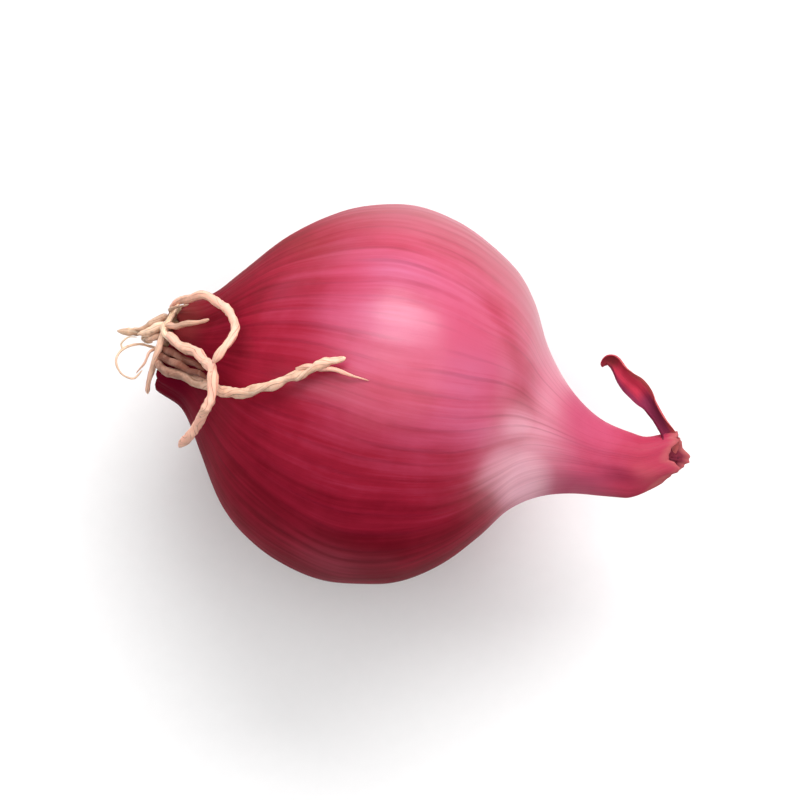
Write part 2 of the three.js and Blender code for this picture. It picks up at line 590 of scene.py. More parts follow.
@dataclass(frozen=True)
class Finish:
    """What the finishes share: lengthwise fibres and dry weathering, each at its own scale.

    Attributes:
        effects: The shared groups.
        veins: How many veins or furrows run round the core of the piece.
        pitch: How many bands lie in a millimetre.
        patch: Size of the blotches, in metres.
        relief: Height of the grain, in millimetres.
    """

    effects: SharedEffects
    veins: float = 0.0
    pitch: float = 1.0
    patch: float = 0.001
    relief: float = 0.02

    def fibres(self, graph: Graph, strand: Socket) -> bpy.types.bpy_prop_collection:
        """The bands, threads and veins of a piece that holds a strand."""
        return graph.use(self.effects.fibres, {"Strand": strand, "Pitch": self.pitch, "Count": self.veins})

    def weathering(self, graph: Graph) -> bpy.types.bpy_prop_collection:
        """The blotches, specks and grain of a dry piece."""
        return graph.use(self.effects.weathering, {"Place": graph.place(), "Size": self.patch})


@dataclass(frozen=True)
class SkinFinish(Finish):
    """The bulb's dry outer skin: satin, burgundy to rose, with threads and veins from roots to neck.

    Attributes:
        cheeks: From the least ripe cheek to the ripest: each place and its colour. The darker end is partly
        painted shade.
    """

    cheeks: tuple = (
        (0.0, (0.125, 0.002, 0.008)), (0.25, (0.195, 0.005, 0.016)), (0.5, (0.325, 0.012, 0.034)),
        (0.8, (0.450, 0.040, 0.092)), (1.0, (0.510, 0.066, 0.138)),
    )
    # Rosy tone, partly for a painted highlight.
    blush_and_highlight: Colour = (0.55, 0.15, 0.28)
    vein: Colour = (0.13, 0.004, 0.016)
    # Dark round the roots: the skin's own tone and painted shade.
    base_and_shade: Colour = (0.130, 0.002, 0.014)
    neck: Colour = (0.49, 0.078, 0.152)
    neck_end: Colour = (0.40, 0.034, 0.074)
    milky: Colour = (0.90, 0.49, 0.58)
    # Pale pink, mostly for painted reflection.
    scuff_and_reflection_colour: Colour = (0.42, 0.11, 0.15)
    # Brown, for stains and for painted shade under a stub root.
    stain_and_shade: Colour = (0.20, 0.05, 0.035)
    # Dark plum, for painted shade.
    hollow_shade: Colour = (0.16, 0.010, 0.035)
    rust: Colour = (0.44, 0.12, 0.12)
    char: Colour = (0.09, 0.022, 0.016)
    veins: float = 58.0
    pitch: float = 0.3
    patch: float = 0.007
    relief: float = 0.016

    def build(self) -> bpy.types.Material:
        """Makes the material from the marks that the skin holds: its strand, its regions, its ripeness with
        painted shade, and its wear with painted light and shade.

        The cheek takes its colour from its ripeness, which is partly painted shade on its lower side, and a
        mottle. The other colours go over it in their order, most of them broken up by the streaks or the
        blotches; among them are a painted highlight, painted reflection and painted shade. The coat is only
        on ripe skin that nothing has dried.

        Returns:
            The material.
        """
        graph = new_material("onion_skin")
        strand = graph.mark("strand")
        fibres = self.fibres(graph, strand)
        dry = self.weathering(graph)
        blotches = dry["Blotches"]
        neck, base_and_shade, tip = graph.split(graph.mark("region"))
        ripe, blush_and_highlight, milky = graph.split(graph.mark("ripe"))
        scuff_and_reflection, stain_and_shade, hollow_shade = graph.split(graph.mark("wear"))

        streaks = graph.times_add(fibres["Bands"], 0.5, graph.times(fibres["Threads"], 0.5))
        lit = graph.fit(graph.step(streaks, 0.38, 0.62), 0.45, 1.0)
        mottle = graph.times_add(blotches, 0.16, graph.times_add(streaks, 1.1, -0.63))
        far = graph.step(graph.times_add(blotches, 2.4, graph.split(strand)[2]), 32.7, 36.7)
        throat = graph.blend(far, self.neck, self.neck_end)
        colour = graph.layered(
            graph.shades(graph.math("ADD", ripe, mottle), self.cheeks),
            # The blush is partly a painted highlight.
            (graph.times(blush_and_highlight, lit), self.blush_and_highlight),
            (graph.times(neck, graph.fit(streaks, 0.65, 1.0)), throat),
            (graph.times(milky, graph.fit(lit, 0.6, 1.0)), self.milky),
            (graph.times(fibres["Veins"], graph.fit(graph.larger(milky, neck), 0.27, 0.11)), self.vein),
            # Darker round the roots, partly painted shade.
            (graph.times(base_and_shade, graph.fit(blotches, 0.55, 0.85)), self.base_and_shade),
            # Painted reflection at the lower edge and along the rim, with a real scuff on the cheek.
            (graph.times(scuff_and_reflection, lit), self.scuff_and_reflection_colour),
            # Real stains, and painted shade beside the plate.
            (graph.times(stain_and_shade, graph.fit(blotches, 0.35, 0.9)), self.stain_and_shade),
            (graph.times(tip, graph.fit(blotches, 0.45, 1.0)), self.rust),
            # Painted shade in the neck's crease and down its open end.
            (graph.times(hollow_shade, 0.85), self.hollow_shade),
            (graph.times(dry["Specks"], graph.fit(tip, 0.06, 0.7)), self.char),
        )

        parched = graph.larger(graph.larger(milky, tip), graph.larger(base_and_shade, stain_and_shade))
        dull = graph.larger(parched, graph.times(neck, 0.85))
        rough = graph.times_add(dull, 0.12, graph.fit(fibres["Threads"], 0.40, 0.54))
        height = graph.times_add(dry["Grain"], 0.3, fibres["Height"])
        gloss = graph.fit(ripe, 0.0, 0.9, (0.4, 0.95))
        others = {
            "Coat Weight": graph.times(graph.math("SUBTRACT", 1.0, dull), gloss),
            "Coat Roughness": 0.30,
            "Specular IOR Level": 0.01,
            "Subsurface Weight": 0.06,
            "Subsurface Radius": (1.0, 0.25, 0.2),
            "Subsurface Scale": 0.7 * MM,
        }
        return finished(graph, colour, rough, height, self.relief, others)


@dataclass(frozen=True)
class CorkFinish(Finish):
    """The root plate: matt tan cork, with painted shade in its cracks, its pits and round its rim."""

    tan: Colour = (0.34, 0.19, 0.105)
    pale: Colour = (0.55, 0.36, 0.22)
    dark: Colour = (0.07, 0.027, 0.014)
    patch: float = 0.0012
    relief: float = 0.09

    def build(self) -> bpy.types.Material:
        """Makes the material from the mark crack, whose first number is how deep a point lies: it sets the
        painted shade.

        Returns:
            The material.
        """
        graph = new_material("root_plate_cork")
        dry = self.weathering(graph)
        deep, _, _ = graph.split(graph.mark("crack"))
        colour = graph.layered(
            graph.blend(dry["Blotches"], self.tan, self.pale),
            # Painted shade in the cracks, pits and round the rim.
            (graph.step(deep, 0.1, 0.9), self.dark),
            (graph.times(dry["Specks"], 0.6), self.dark),
        )
        rough = graph.fit(dry["Grain"], 0.75, 0.95)
        return finished(graph, colour, rough, dry["Grain"], self.relief, {"Specular IOR Level": 0.3})


@dataclass(frozen=True)
class RootFinish(Finish):
    """The dead roots: straw-tan or rosy threads with lengthwise furrows, browner near the plate, partly as
    painted shade among the roots; the rosy tint is partly painted red bounce light from the skin.
    """

    straw: Colour = (0.90, 0.58, 0.38)
    pale: Colour = (0.95, 0.76, 0.56)
    # Pink, partly for painted bounce light from the skin.
    rosy_and_bounce: Colour = (0.95, 0.48, 0.37)
    brown: Colour = (0.20, 0.065, 0.04)
    dark: Colour = (0.10, 0.045, 0.02)
    veins: float = 7.0
    pitch: float = 1.1
    patch: float = 0.0016
    relief: float = 0.04

    def build(self) -> bpy.types.Material:
        """Makes the material from the marks strand and way: share of the length, how old and shaded, and how
        rosy, partly with painted bounce light.

        Returns:
            The material.
        """
        graph = new_material("dry_root")
        fibres = self.fibres(graph, graph.mark("strand"))
        dry = self.weathering(graph)
        threads, blotches = fibres["Threads"], dry["Blotches"]
        share, age_and_shade, rosiness_and_bounce = graph.split(graph.mark("way"))
        # Browner near the plate and where the age is high: partly painted shade among the roots.
        old_and_shaded = graph.times_add(graph.step(share, 0.3, 0.0), 0.15, age_and_shade)
        patches = graph.times(graph.step(blotches, 0.55, 1.0), graph.fit(threads, 0.45, 0.0))
        colour = graph.layered(
            graph.blend(graph.step(threads, 0.35, 0.65), self.straw, self.pale),
            # Partly painted red bounce light from the skin.
            (graph.times(rosiness_and_bounce, graph.fit(blotches, 1.0, 0.6)), self.rosy_and_bounce),
            (graph.times(old_and_shaded, graph.fit(blotches, 0.6, 1.0)), self.brown),
            (patches, self.brown),
            (graph.times(fibres["Veins"], 0.6), self.brown),
            (graph.times(dry["Specks"], 0.4), self.dark),
        )
        others = {
            "Specular IOR Level": 0.25,
            "Subsurface Weight": 0.15,
            "Subsurface Radius": (1.0, 0.6, 0.4),
            "Subsurface Scale": 0.3 * MM,
        }
        return finished(graph, colour, graph.fit(threads, 0.55, 0.8), fibres["Height"], self.relief, others)


@dataclass(frozen=True)
class LeafFinish(Finish):
    """The dead leaf: bright crimson where it lies open, plum where it is rolled, paler along one edge. The
    plum is partly painted shade, and the paler edge partly painted light.
    """

    crimson: Colour = (0.50, 0.034, 0.070)
    # Plum, partly for painted shade.
    plum_and_shade: Colour = (0.20, 0.022, 0.058)
    # Coral, partly for painted light.
    coral_and_light: Colour = (0.58, 0.155, 0.14)
    maroon: Colour = (0.25, 0.030, 0.040)
    veins: float = 16.0
    pitch: float = 1.3
    patch: float = 0.0022
    relief: float = 0.025

    def build(self) -> bpy.types.Material:
        """Makes the material from the marks for its strand and its tints: how plum, partly painted shade;
        how coral, partly painted light; and how maroon.

        Returns:
            The material.
        """
        graph = new_material("leaf_paper")
        fibres = self.fibres(graph, graph.mark("strand"))
        dry = self.weathering(graph)
        plum_and_shade, coral_and_light, maroon = graph.split(graph.mark("tint"))
        uneven = graph.fit(dry["Blotches"], 0.65, 1.0)
        banded = graph.times(graph.step(fibres["Bands"], 0.35, 0.8), 0.25)
        colour = graph.layered(
            # Plum is partly painted shade, coral partly painted light.
            graph.blend(graph.larger(banded, plum_and_shade), self.crimson, self.plum_and_shade),
            (graph.times(coral_and_light, uneven), self.coral_and_light),
            (graph.times(maroon, uneven), self.maroon),
            (graph.times(fibres["Veins"], 0.25), self.plum_and_shade),
        )
        rough = graph.fit(fibres["Threads"], 0.6, 0.8)
        height = graph.times_add(dry["Grain"], 0.5, fibres["Height"])
        return finished(graph, colour, rough, height, self.relief, {"Specular IOR Level": 0.06})


@dataclass(frozen=True)
class Swell:
    """A broad swelling of the bulb's side, or a pinch if its height is below 0.

    Attributes:
        along: Where its middle lies along the core.
        angle: Where its middle lies round the core.
        height: How far the side stands out there.
        length: How far it reaches along the core.
        width: How far it reaches round the core, in radians.
    """

    along: float
    angle: float
    height: float
    length: float
    width: float

    def at(self, along: Array, angle: Array) -> Array:
        """How far the side stands out at some points: a bell along the core and round it."""
        turned = 2.0 * (1.0 - np.cos(angle - self.angle))
        return self.height * np.exp(-(((along - self.along) / self.length) ** 2 + turned / self.width**2))


@dataclass
class SkinMarks:
    """Where the skin has its regions and colours, for its finish to read.

    Attributes:
        rings: Every ring's points.
        along: How far along the side each point started.
        inside: 1 for the rings inside the neck's end.
        deep: How deep those of them lie, from 0 to 1, which sets the painted shade down the open end.
    """

    rings: Array
    along: Array
    inside: Array
    deep: Array

    def __post_init__(self) -> None:
        """Works out what several marks use."""
        self.across, self.up = self.rings[..., 1], self.rings[..., 2]
        self.wander = Ripples(5.0, 31).at(self.rings)
        self.upper = smooth_step(self.up, 1.0, 6.0)
        # How far past the curved line where the shoulder turns.
        self.past_turn = self.along - 26.6 + 0.094 * np.maximum(self.across - 2.0, 0.0) ** 2

    def spot(self, middle: tuple[float, float], spread: tuple[float, float], edge: float = 1.0) -> Array:
        """A soft spot, 1 at its middle.

        Args:
            middle: Where it lies along and across.
            spread: How far it reaches along and across.
            edge: Makes its edge sharper: it falls with that power of the square of the distance in spreads.

        Returns:
            The spot at each point.
        """
        off = ((self.along - middle[0]) / spread[0]) ** 2 + ((self.across - middle[1]) / spread[1]) ** 2
        return np.exp(-(off**edge) * (1.0 + 0.25 * self.wander))

    def region(self) -> Array:
        """The skin's regions.

        Returns:
            How much each point belongs to the neck, to the roots' surround, darker partly as painted
            shade, and to the dried tip.
        """
        neck = smooth_step(self.along + 0.7 * self.wander, 27.5, 31.5)
        # The roots' surround is darker: partly the skin's own tone, partly painted shade among the roots.
        base_and_shade = smooth_step(self.along + 0.6 * self.wander + 0.12 * self.across, 5.0, 1.2)
        dried = self.along + 0.2 * self.wander + 0.15 * np.clip(-self.across, 0.0, 3.0)
        tip = np.maximum(smooth_step(dried, 37.7, 38.3), self.inside)
        withered = 0.45 * self.spot((36.8, -1.2), (1.3, 1.1)) * smooth_step(self.up, -0.5, 0.5)
        return np.stack([neck, base_and_shade, np.maximum(tip, withered)], axis=-1)

    def ripeness_and_shade(self) -> Array:
        """How ripe the cheek is at each point, partly painted shade; how much it blushes, partly a painted
        highlight; and how milky it is.
        """
        return np.stack([self.ripe(), self.blush_and_highlight(), self.milky()], axis=-1)

    def ripe(self) -> Array:
        """How ripe the cheek is, with painted shade toward the roots and the lower side.

        Returns:
            A number that is higher away from the roots and from the two sides, and lower in a band on the
            shoulder.
        """
        # Painted shade in part: darker toward the root end, and much darker toward the lower side, as if less
        # light fell there.
        forward = 0.3 + 0.7 * smooth_step(self.along, 1.0, 20.0)
        least = 0.22 + 0.35 * smooth_step(self.along, 20.0, 7.0)
        painted_side_light = least + (1.0 - least) * smooth_step(self.across, -13.0, 4.0)
        painted_side_light = painted_side_light - 0.24 * smooth_step(self.across, 5.0, 14.0)
        band = np.exp(-(self.past_turn**2))
        band = band * smooth_step(self.across, 0.5, 3.0) * smooth_step(self.across, 10.0, 8.0)
        return forward * painted_side_light - 0.22 * band

    def blush_and_highlight(self) -> Array:
        """How much the cheek blushes: partly its own rosy tone, partly a painted highlight with its halo.

        Returns:
            Four overlapping spots on the upper side, where the light falls.
        """
        cheek = 0.5 * self.spot((15.3, 6.0), (4.2, 2.8)) + 0.45 * self.spot((16.3, 9.3), (3.4, 1.0))
        shoulder = 0.5 * self.spot((22.5, 1.5), (2.4, 3.2))
        beside = 0.32 * self.spot((23.6, -1.0), (3.0, 1.7))
        return np.maximum(np.maximum(cheek, shoulder), beside) * self.upper

    def milky(self) -> Array:
        """How milky the skin is.

        Returns:
            A bright corner, a pale band and a patch where the neck starts, and a faint strip beside it.
        """
        along, across = self.along, self.across
        near = smooth_step(across, 2.0, -1.0)
        bend = (0.33 + 0.22 * near) * np.exp(-(((along - 28.7 + 0.4 * near) / (1.4 + 1.0 * near)) ** 2))
        corner = self.spot((28.2, -3.7), (2.4, 3.0), 1.6) * smooth_step(self.up, -1.5, 1.0)
        milky = np.maximum(np.maximum(bend, corner), 0.65 * self.spot((27.2, 0.1), (1.6, 1.5)) * self.upper)
        cheek = smooth_step(across, -4.5, -7.0) * smooth_step(along + 0.5 * self.wander, 30.0, 26.0)
        beside = smooth_step(across, -2.0, -4.5)
        beside = beside * smooth_step(along, 31.0, 32.5) * smooth_step(along, 37.5, 34.5)
        return np.maximum(milky * (1.0 - 0.85 * cheek), 0.14 * beside)

    def wear(self) -> Array:
        """What has marked the skin, and where light and shade are painted on it.

        Returns:
            How scuffed each point is, mostly painted reflection; how stained, partly painted shade; and how
            much painted shade lies in the neck's crease and down its open end.
        """
        along, across, up = self.along, self.across, self.up
        # Painted reflection, with some dust, at the lower edge.
        low_reflection_and_dust = 0.3 * self.spot((16.0, -12.8), (3.0, 1.5)) * smooth_step(up, -4.0, 1.0)
        top_scuff = 0.5 * self.spot((12.4, -0.5), (2.4, 0.9)) * self.upper
        # Painted reflection: paler along the upper rim and past the shoulder.
        shoulder = smooth_step(self.past_turn, 1.5, 3.5) * smooth_step(across, 2.0, 5.0)
        rim_reflection = np.maximum(smooth_step(across, 10.5, 13.5), shoulder)
        rim_reflection = 0.55 * rim_reflection * smooth_step(up, -6.0, 0.0) * smooth_step(along, 30.0, 27.0)
        scuff_and_reflection = np.maximum(np.maximum(low_reflection_and_dust, top_scuff), rim_reflection)
        cheek_stain = 0.4 * self.spot((7.6, 9.6), (3.6, 1.0)) * smooth_step(up, -3.0, 0.0)
        # A real stain on the cheek, and painted shade under the short stub root beside the plate.
        stain_and_shade = np.maximum(cheek_stain, 0.8 * self.spot((1.2, 2.2), (1.6, 1.8)))
        # Painted shade in the neck's crease and down its open end.
        crease_shade = 0.5 * self.spot((35.2, -1.5), (1.5, 0.8)) * smooth_step(up, 0.0, 0.8)
        return np.stack([scuff_and_reflection, stain_and_shade, np.maximum(crease_shade, self.deep)], axis=-1)


@dataclass
class BulbSkin:
    """The bulb in its outer skin, as one closed surface from the dish round the roots to the open neck.

    Attributes:
        place: Where the onion lies.
        around: Points in each ring.
        rows: Rings down the outside.
        dent: Depth of the broad unevenness.
        facet: Depth of the lengthwise unevenness.
        rib: Height of the ribs over the veins.
        ribs: How many ribs there are.
        twist: How far the veins turn round the core on their way up the neck, in radians.
        fold: Depth of the folds in the neck, as a share of its radius.
        pleat: Depth of the pleats round the roots.
        flatness: How much lower than wide the neck is at its end, as a share.
        neck_from: Where along the side the folds in the neck start.
        softness: How gradually the underside meets the surface that the onion rests on.
        swells: The broad swellings and one pinch.
        reach: How far the neck's end goes past the side's last point, at shares across from the one side to
            the other. This makes it a wedge.
        bite: How far the upper lip of the neck's end is set back, where it is most.
        collar: How far the torn skin round the roots goes past the side's first point, on the two sides.
        end_rings: Rings inside the open end of the neck: share of the rim's radius, depth, and share of the
            slant kept. They go down between the dry scales and up again over the rolled leaf in the middle.
        dish_rings: Rings inside the lip round the roots: share of the lip's radius, and how far along from
            the lip.
    """

    place: Placement
    around: int = 448
    rows: int = 186
    dent: float = 0.11
    facet: float = 0.035
    rib: float = 0.008
    ribs: int = 64
    twist: float = 0.55
    fold: float = 0.06
    pleat: float = 0.22
    flatness: float = 0.5
    neck_from: float = 27.0
    softness: float = 0.06
    swells: tuple = (
        Swell(7.5, math.pi, 1.0, 3.9, 0.75), Swell(21.8, math.pi, 0.6, 3.6, 0.8),
        Swell(32.5, 0.0, 0.15, 2.6, 0.9), Swell(35.0, 2.05, -0.35, 1.5, 0.3),
    )
    reach: tuple = (
        (-1.0, -1.3), (-0.83, 0.26), (-0.54, 0.95), (-0.27, 1.6), (0.08, 1.78), (0.42, 1.33), (0.81, 0.66),
        (1.0, 0.4),
    )
    bite: float = 1.55
    collar: tuple = (0.85, 0.1)
    end_rings: tuple = (
        (0.95, -0.02, 1.0), (0.89, 0.10, 1.0), (0.82, 0.6, 1.0), (0.74, 1.0, 0.95), (0.67, 0.95, 0.9),
        (0.60, 0.6, 0.85), (0.52, 0.75, 0.8), (0.44, 1.1, 0.7), (0.36, 0.9, 0.6), (0.26, 0.65, 0.5),
        (0.14, 0.75, 0.4),
    )
    dish_rings: tuple = ((0.2, 0.42), (0.5, 0.4), (0.78, 0.34), (0.84, 0.1), (0.88, -0.12), (0.95, -0.1))

    def vein_angle(self, along: Array, angle: Array) -> Array:
        """Where the veins run.

        Args:
            along: How far along the side each point is.
            angle: Its angle round the core.

        Returns:
            The angle of the vein at each point: its own, with a twist up the neck and a slow sway.
        """
        turn = self.twist * smooth_step(along, 22.0, self.place.length)
        wide = self.place.radius * np.concatenate([on_circle(angle), along[..., None] / 16.0], axis=-1)
        return angle + turn + 0.016 * Ripples(9.0, 11).at(wide)

    def folds(self, vein: Array) -> Array:
        """Folds of dry paper: two sets of arches with sharp valleys, unevenly spaced.

        Args:
            vein: The angle of the vein at each point.

        Returns:
            How high each point lies, from 0 in the valleys to 1.
        """
        wide = np.abs(np.sin(2.0 * (vein + 0.35 * np.sin(2.0 * vein + 1.0))))
        narrow = np.abs(np.sin(5.5 * (vein + 0.16 * np.sin(3.0 * vein + 0.4))))
        return 0.7 * wide + 0.3 * narrow

    def relief(self, along: Array, angle: Array, radius: Array, vein: Array) -> Array:
        """How far the side stands out from a smooth one.

        Args:
            along: How far along the side each point is.
            angle: Its angle round the core.
            radius: The smooth side's radius in each ring.
            vein: The angle of the vein at each point.

        Returns:
            The dents and facets, the ribs over the veins, the folds in the neck, the pleats round the roots
            and the swells, added together.
        """
        circle = on_circle(angle)
        bare = np.concatenate([along[..., None], radius[..., None] * circle], axis=-1)
        cylinder = np.concatenate([0.16 * along[..., None], self.place.radius * circle], axis=-1)
        fullness = np.clip(radius / self.place.radius, 0.0, 1.0)
        relief = self.dent * Ripples(12.0, 3).at(bare) * fullness
        relief += self.facet * Ripples(6.0, 5).at(cylinder) * fullness
        relief += self.rib * np.cos(self.ribs * vein) * fullness * (0.6 + 0.4 * Ripples(8.0, 7).at(bare))
        in_neck = smooth_step(along, self.neck_from, 35.0)
        relief -= self.fold * radius * in_neck * (1.0 - self.folds(vein))
        near_roots = smooth_step(along, 5.5, 1.2)
        relief -= self.pleat * near_roots * (1.0 - self.folds(2.0 * vein + 0.7))
        for swell in self.swells:
            relief += swell.at(along, angle)
        return relief

    def carried(self, along: Array, angle: Array) -> Array:
        """Where along the core each point lies, once both open ends have their shapes.

        Args:
            along: How far along the side each point is.
            angle: Its angle round the core.

        Returns:
            The same, with the neck's end carried on by its slant, less the bite, and made ragged, and with
            the torn skin round the roots drawn out.
        """
        start, end = along[0, 0], along[-1, 0]
        circle = on_circle(angle)
        share = circle[..., 0]
        notch = self.bite * np.exp(-(((share - 0.16) / 0.4) ** 2)) * smooth_step(circle[..., 1], 0.0, 0.6)
        reach = np.interp(share, *curve_through(np.array(self.reach), 200).T) - notch
        ragged = 0.06 * Ripples(1.3, 21).at(2.3 * circle) + 0.04 * Ripples(0.5, 23).at(2.3 * circle)
        torn = np.interp(share, [-1.0, 1.0], self.collar) + 0.12 * Ripples(1.0, 25).at(3.4 * circle)
        slanted = along + reach * smooth_step(along, end - 7.0, end) ** 1.5
        slanted = slanted + ragged * smooth_step(along, end - 1.6, end)
        return slanted - torn * smooth_step(along, 2.2, start)

    def rested(self, up: Array) -> Array:
        """Presses what lies below the surface up to it, softly: half the sum of z and its softened size."""
        above = up + self.place.height
        return 0.5 * (above + np.sqrt(above * above + self.softness * self.softness)) - self.place.height

    def outside(self) -> tuple[Array, Array, Array]:
        """The rings of the outside.

        Each ring is a circle of the side's radius and relief about the drifting middle, lowered in the
        neck, carried along the core at both ends, and pressed up where it passes below the surface.

        Returns:
            The rings, the angle of the vein at each point, and how far along the side each point started.
        """
        side = self.place.side(self.rows)
        along = np.repeat(side[:, :1], self.around, axis=1)
        angle = np.broadcast_to(ring_angles(self.around), along.shape)
        vein = self.vein_angle(along, angle)
        radius = side[:, 1:] + self.relief(along, angle, side[:, 1:], vein)
        lowered = 1.0 - self.flatness * smooth_step(along, 29.5, 38.4)
        carried = self.carried(along, angle)
        across = self.place.drift(carried) + radius * np.cos(angle)
        up = radius * np.sin(angle) * lowered
        return np.stack([carried, across, self.rested(up)], axis=-1), vein, along

    @staticmethod
    def drawn_in(ring: Array, share: float) -> Array:
        """A ring drawn in to a share of its size about its own middle."""
        middle = ring.mean(axis=1, keepdims=True)
        return middle + (ring - middle) * share

    def build(self, finish: bpy.types.Material) -> bpy.types.Object:
        """Makes the bulb, with its dish and the open end of its neck.

        Args:
            finish: The skin's material.

        Returns:
            The piece.
        """
        rings, vein, started = self.outside()
        dish = [self.drawn_in(rings[:1], share) + [shift, 0.0, 0.0] for share, shift in self.dish_rings]
        rim = rings[-1:]
        level = rim[..., 0].mean()
        throat = []
        for share, depth, kept in self.end_rings:
            ring = self.drawn_in(rim, share)
            ring[..., 0] = level - depth + kept * (rim[..., 0] - level)
            throat.append(ring)
        every = np.concatenate([*dish, rings, *throat])

        added = ((len(dish), len(throat)), (0, 0))
        vein, started = np.pad(vein, added, mode="edge"), np.pad(started, added, mode="edge")
        depths = np.array(self.end_rings)[:, 1]
        before = (len(every) - len(throat), 0)
        inside = np.pad(np.ones(len(throat)), before)[:, None]
        # How deep each ring inside the end lies, for its painted shade.
        deep = np.pad(np.clip(2.0 * depths, 0.0, 1.0), before)[:, None]
        strand = np.concatenate([self.place.radius * on_circle(vein), started[..., None]], axis=-1)
        skin = SkinMarks(every, started, inside, deep)
        marks = {"strand": strand, "region": skin.region(), "ripe": skin.ripeness_and_shade(), "wear": skin.wear()}
        shell = Shell.of_rings(every, every[0].mean(0), every[-1].mean(0), marks)
        piece = build_piece("bulb_skin", [shell], self.place)
        dress(piece, finish, "bulb")
        return piece


@dataclass
class RootPlate:
    """The corky plate that the roots grow from: a low dome with cracks, pits and the stumps of lost roots.

    Attributes:
        place: Where the onion lies.
        radius: The rim's radius.
        front: Where along the core the middle of its face lies.
        back: Where along the core its back lies.
        around: Points in each ring.
        rows: Rings on the face.
        stumps: How many stumps there are.
        seed: Picks their places, sizes and heights.
    """

    place: Placement
    radius: float = 2.85
    front: float = -0.3
    back: float = 1.0
    around: int = 144
    rows: int = 40
    stumps: int = 26
    seed: int = 17

    def face(self) -> tuple[Array, Array]:
        """The face: a dome that falls off with distance, raised by stumps and lowered by pits and cracks.

        Returns:
            Its rings, from the middle to the rim, and how deep in a crack or pit each point lies.
        """
        circle = on_circle(ring_angles(self.around))
        out = np.linspace(0.04, 1.0, self.rows)[:, None]
        wobble = 1.0 + 0.05 * Ripples(1.6, 41).at(self.radius * circle)
        flat = (self.radius * out * wobble)[..., None] * circle
        random = np.random.default_rng(self.seed)
        spots = random.uniform(-0.82, 0.82, (self.stumps, 2)) * self.radius
        size = random.uniform(0.18, 0.34, self.stumps)
        near = ((flat[..., None, :] - spots) ** 2).sum(-1) / size**2
        stumps = (np.exp(-(near**2)) * random.uniform(0.15, 0.5, self.stumps)).sum(-1)
        pits = (np.exp(-near * 5.0) * 0.22).sum(-1)
        crack = smooth_step(np.abs(Ripples(1.1, 43).at(flat)), 0.28, 0.0)
        grain = 0.05 * Ripples(0.35, 47).at(flat)
        rise = 0.75 * out**2.2 - stumps + pits + 0.22 * crack + grain
        # How deep each point lies, in a crack or pit or near the rim: this sets the painted shade.
        deep = np.clip(0.9 * crack + 1.6 * pits + 0.5 * smooth_step(out, 0.8, 1.0), 0.0, 1.0)
        return np.concatenate([(self.front + rise)[..., None], flat], axis=-1), deep

    def build(self, finish: bpy.types.Material) -> bpy.types.Object:
        """Makes the plate: its face, then its back drawn in from the rim.

        Args:
            finish: The cork's material.

        Returns:
            The piece.
        """
        face, deep = self.face()
        middle = np.array([self.back, 0.0, 0.0])
        back = [face[-1:] * [0.0, share, share] + middle for share in (0.96, 0.4)]
        rings = np.concatenate([face, *back])
        crack = np.zeros(rings.shape)
        crack[: self.rows, :, 0] = deep
        shell = Shell.of_rings(rings, face[0].mean(0), middle, {"crack": crack})
        piece = build_piece("root_plate_cork", [shell], self.place)
        dress(piece, finish, "root_plate")
        return piece


@dataclass(frozen=True)
class Thread:
    """A round thread that tapers along its route.

    Attributes:
        thickness: At its thick end.
        route: The points that it runs through.
        taper: Thickness near its far end, as a share.
        age_and_shade: How brown it is near its start: its age, and for the first root and the strands under
            it,
        painted shade.
        rosy_and_bounce: How pink it is, from 0 to 1: its own tint, and painted red bounce light from the
            skin.
        start: Thickness at its start, as a share.
        clears: The share of that brown that its far part has lost.
        branches: Its branches and rootlets, and finer strands that lie against it.
    """

    thickness: float
    route: tuple
    taper: float = 0.5
    age_and_shade: float = 0.0
    rosy_and_bounce: float = 0.0
    start: float = 1.0
    clears: float = 0.0
    branches: tuple["Thread", ...] = ()


